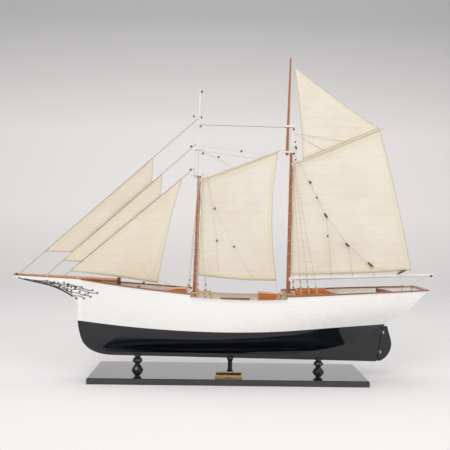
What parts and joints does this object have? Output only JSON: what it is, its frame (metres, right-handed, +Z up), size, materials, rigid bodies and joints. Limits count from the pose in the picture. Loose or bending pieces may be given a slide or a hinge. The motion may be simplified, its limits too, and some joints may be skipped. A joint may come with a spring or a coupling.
{
  "type": "model sailing ship",
  "caption": "Two-masted gaff schooner display model with cream sails, white and navy hull, planked deck and rigging, on a gloss black board with turned pedestals and a blank name plate.",
  "frame": {"origin": "middle of the flat underside of the base board", "axes": "+X towards the stern, -X towards the bow, -Y port, +Z up"},
  "size_m": [0.8002, 0.13, 0.609],
  "materials": {
    "aft_cap_rail": "varnished",
    "aft_deckhouse": "orange-brown varnish",
    "base_board": "gloss black lacquer, pale reflections",
    "belaying_pins": "polished",
    "bottom_planking": "dark navy gloss paint on planks",
    "bowsprit": "varnished",
    "bowsprit_bands": "dark brown",
    "bowsprit_bitts": "dark varnish",
    "bulkheads": "bare plywood",
    "cargo_hatch": "brown varnish, pale edges",
    "center_post": "turned, gloss black",
    "center_spine": "bare plywood",
    "companionway": "orange-brown varnish",
    "deadeyes": "dark brown",
    "deck": "pale varnished narrow planks",
    "fife_rails": "pale varnish",
    "flying_jib": "cream cotton with sewn seams",
    "fore_cap_rail": "varnished",
    "fore_companionway": "orange-brown varnish",
    "fore_gaff": "white paint",
    "fore_mast_hoops": "varnished",
    "fore_running_lines": "tan cotton thread",
    "fore_staysail": "cream cotton with sewn seams",
    "fore_topmast": "white paint",
    "foremast": "red-brown varnish, white masthead",
    "foresail": "cream cotton with sewn seams",
    "jib": "cream cotton with sewn seams",
    "keel": "dark navy gloss paint",
    "lanyards": "tan cotton thread",
    "main_boom": "white paint",
    "main_gaff": "cream paint",
    "main_mast_hoops": "varnished",
    "main_running_lines": "tan cotton thread",
    "main_topmast": "red-brown varnish",
    "main_topsail": "cream cotton with sewn seams",
    "mainmast": "red-brown varnish, white masthead",
    "mainsail": "cream cotton with sewn seams",
    "mast_caps": "white paint",
    "mast_coats": "cream paint",
    "name_plate": "blank brass, dark lower half",
    "name_plate_pins": "polished",
    "pedestals": "turned, gloss black",
    "rail_cleats": "dark varnish",
    "ratlines": "tan cotton thread",
    "rudder": "dark navy gloss paint",
    "rudder_gudgeons": "aged",
    "rudder_pintles": "aged",
    "sheet_horses": "polished",
    "shroud_eyebolts": "aged",
    "shrouds": "tan cotton thread",
    "stand_screws": "zinc plated",
    "stays": "dark waxed thread",
    "steering_wheel": "dark varnish",
    "stem_knee": "white gloss paint",
    "topside_planking": "white gloss paint on planks",
    "trailboards": "black with carved scrolls",
    "waist_cap_rail": "white paint",
    "wheel_box": "varnished"
  },
  "bodies": {
    "ship": {"aft_cap_rail": "aft_cap_rail", "aft_deckhouse": "aft_deckhouse", "base_board": "base_board", "belaying_pins": "belaying_pins", "bottom_planking": "bottom_planking", "bowsprit": "bowsprit", "bowsprit_bands": "bowsprit_bands", "bowsprit_bitts": "bowsprit_bitts", "bulkheads": "bulkheads", "cargo_hatch": "cargo_hatch", "center_post": "center_post", "center_spine": "center_spine", "companionway": "companionway", "deadeyes": "deadeyes", "deck": "deck", "fife_rails": "fife_rails", "flying_jib": "flying_jib", "fore_cap_rail": "fore_cap_rail", "fore_companionway": "fore_companionway", "fore_staysail": "fore_staysail", "fore_topmast": "fore_topmast", "foremast": "foremast", "jib": "jib", "keel": "keel", "lanyards": "lanyards", "main_topmast": "main_topmast", "mainmast": "mainmast", "mast_caps": "mast_caps", "mast_coats": "mast_coats", "name_plate": "name_plate", "name_plate_pins": "name_plate_pins", "pedestals": "pedestals", "rail_cleats": "rail_cleats", "ratlines": "ratlines", "rudder_gudgeons": "rudder_gudgeons", "sheet_horses": "sheet_horses", "shroud_eyebolts": "shroud_eyebolts", "shrouds": "shrouds", "stand_screws": "stand_screws", "stays": "stays", "stem_knee": "stem_knee", "topside_planking": "topside_planking", "trailboards": "trailboards", "waist_cap_rail": "waist_cap_rail", "wheel_box": "wheel_box"},
    "rudder": {"rudder": "rudder", "rudder_pintles": "rudder_pintles"},
    "main_sail_rig": {"main_boom": "main_boom", "main_gaff": "main_gaff", "mainsail": "mainsail", "main_topsail": "main_topsail", "main_mast_hoops": "main_mast_hoops", "main_running_lines": "main_running_lines"},
    "fore_sail_rig": {"fore_gaff": "fore_gaff", "foresail": "foresail", "fore_mast_hoops": "fore_mast_hoops", "fore_running_lines": "fore_running_lines"},
    "wheel": {"steering_wheel": "steering_wheel"}
  },
  "joints": [
    {"name": "rudder_swing", "type": "hinge", "parent": "ship", "child": "rudder", "pos_m": [0.2866, 0, 0.033], "axis": [0.1357, 0, 0.9907], "range_deg": [-30, 30]},
    {"name": "main_sail_swing", "type": "hinge", "parent": "ship", "child": "main_sail_rig", "pos_m": [0.112, 0, 0.056], "axis": [0.0077, 0, 1], "range_deg": [-6, 6]},
    {"name": "fore_sail_swing", "type": "hinge", "parent": "ship", "child": "fore_sail_rig", "pos_m": [-0.0679, 0, 0.056], "axis": [0.0231, 0, 0.9997], "range_deg": [-6, 6]},
    {"name": "wheel_spin", "type": "hinge", "parent": "ship", "child": "wheel", "pos_m": [0.2835, 0, 0.1664], "axis": [1, 0, 0], "continuous": true}
  ]
}
